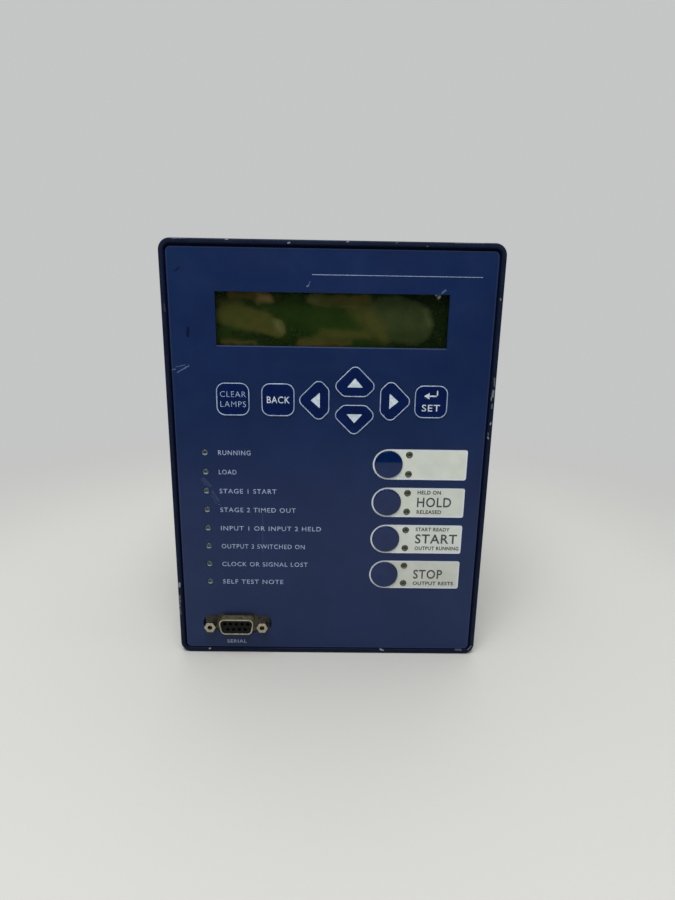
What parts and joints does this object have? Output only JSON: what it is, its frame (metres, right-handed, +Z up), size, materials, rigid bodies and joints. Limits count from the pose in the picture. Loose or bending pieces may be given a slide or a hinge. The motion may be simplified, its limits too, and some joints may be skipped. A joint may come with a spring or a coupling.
{
  "type": "protection relay",
  "caption": "Panel-mounting protection relay with a flat keypad front, small display, lamps, operator buttons, serial port, folded metal case and rear screw terminals.",
  "frame": {"origin": "middle of the underside of the part's box", "axes": "+Z up, the front faces -Y, +X to the right seen from the front"},
  "size_m": [0.144, 0.151, 0.192],
  "materials": {
    "bezel_paint": "matt dark navy paint, chipped along the rim",
    "gasket_rubber": "matt foam rubber",
    "overlay_blue": "fine matt texture, printed, scuffed",
    "window_clear": "clear, glossy",
    "display_green": "dark olive, blotchy",
    "display_black": "matt black",
    "backlight_white": "milky",
    "board_green": "solder resist, satin",
    "key_blue": "satin, printed border",
    "label_white": "matt, printed",
    "lamp_grey": "translucent, unlit",
    "black_plastic": "moulded, satin",
    "plated_steel": "zinc plated",
    "port_nickel": "dull plated, yellowed",
    "contact_gold": "plated",
    "ground_brass": "plain",
    "winding_tape": "taped winding"
  },
  "bodies": {
    "relay": {"front_bezel": "bezel_paint", "panel_gasket": "gasket_rubber", "keypad_overlay": "overlay_blue", "display_window": "window_clear", "display_glass": "display_green", "display_frame": "display_black", "display_backlight": "backlight_white", "display_board": "board_green", "label_card_1": "label_white", "label_card_2": "label_white", "label_card_3": "label_white", "label_card_4": "label_white", "target_lamps": "lamp_grey", "button_lamps": "lamp_grey", "key_switches": "black_plastic", "front_board": "board_green", "front_board_screws": "plated_steel", "front_port_shell": "port_nickel", "front_port_insulator": "black_plastic", "front_port_contacts": "contact_gold", "front_port_jackscrews": "port_nickel", "chassis": "plated_steel", "bezel_screws": "plated_steel", "rear_cover": "plated_steel", "rear_cover_screws": "plated_steel", "card_guide_top": "black_plastic", "card_guide_bottom": "black_plastic", "backplane": "board_green", "backplane_sockets": "black_plastic", "front_link": "black_plastic", "power_card": "board_green", "power_transformer": "winding_tape", "processor_card": "board_green", "network_jack": "plated_steel", "io_card_1": "board_green", "io_card_2": "board_green", "io_card_3": "board_green", "output_relays": "black_plastic", "current_card": "board_green", "current_transformers": "winding_tape", "power_terminals": "black_plastic", "io_terminals_1": "black_plastic", "io_terminals_2": "black_plastic", "io_terminals_3": "black_plastic", "current_terminals": "black_plastic", "terminal_screws": "plated_steel", "ground_stud": "ground_brass", "ground_nut": "ground_brass"},
    "key_reset_body": {"key_reset": "key_blue"},
    "key_back_body": {"key_back": "key_blue"},
    "key_left_body": {"key_left": "key_blue"},
    "key_up_body": {"key_up": "key_blue"},
    "key_down_body": {"key_down": "key_blue"},
    "key_right_body": {"key_right": "key_blue"},
    "key_enter_body": {"key_enter": "key_blue"},
    "operator_button_1_body": {"operator_button_1": "key_blue"},
    "operator_button_2_body": {"operator_button_2": "key_blue"},
    "operator_button_3_body": {"operator_button_3": "key_blue"},
    "operator_button_4_body": {"operator_button_4": "key_blue"}
  },
  "joints": [
    {"name": "key_reset_press", "type": "slide", "parent": "relay", "child": "key_reset_body", "axis": [0, 1, 0], "range_m": [0, 0.0004], "stiffness_N_per_m": 4000},
    {"name": "key_back_press", "type": "slide", "parent": "relay", "child": "key_back_body", "axis": [0, 1, 0], "range_m": [0, 0.0004], "stiffness_N_per_m": 4000},
    {"name": "key_left_press", "type": "slide", "parent": "relay", "child": "key_left_body", "axis": [0, 1, 0], "range_m": [0, 0.0004], "stiffness_N_per_m": 4000},
    {"name": "key_up_press", "type": "slide", "parent": "relay", "child": "key_up_body", "axis": [0, 1, 0], "range_m": [0, 0.0004], "stiffness_N_per_m": 4000},
    {"name": "key_down_press", "type": "slide", "parent": "relay", "child": "key_down_body", "axis": [0, 1, 0], "range_m": [0, 0.0004], "stiffness_N_per_m": 4000},
    {"name": "key_right_press", "type": "slide", "parent": "relay", "child": "key_right_body", "axis": [0, 1, 0], "range_m": [0, 0.0004], "stiffness_N_per_m": 4000},
    {"name": "key_enter_press", "type": "slide", "parent": "relay", "child": "key_enter_body", "axis": [0, 1, 0], "range_m": [0, 0.0004], "stiffness_N_per_m": 4000},
    {"name": "operator_button_1_press", "type": "slide", "parent": "relay", "child": "operator_button_1_body", "axis": [0, 1, 0], "range_m": [0, 0.0004], "stiffness_N_per_m": 4000},
    {"name": "operator_button_2_press", "type": "slide", "parent": "relay", "child": "operator_button_2_body", "axis": [0, 1, 0], "range_m": [0, 0.0004], "stiffness_N_per_m": 4000},
    {"name": "operator_button_3_press", "type": "slide", "parent": "relay", "child": "operator_button_3_body", "axis": [0, 1, 0], "range_m": [0, 0.0004], "stiffness_N_per_m": 4000},
    {"name": "operator_button_4_press", "type": "slide", "parent": "relay", "child": "operator_button_4_body", "axis": [0, 1, 0], "range_m": [0, 0.0004], "stiffness_N_per_m": 4000}
  ]
}
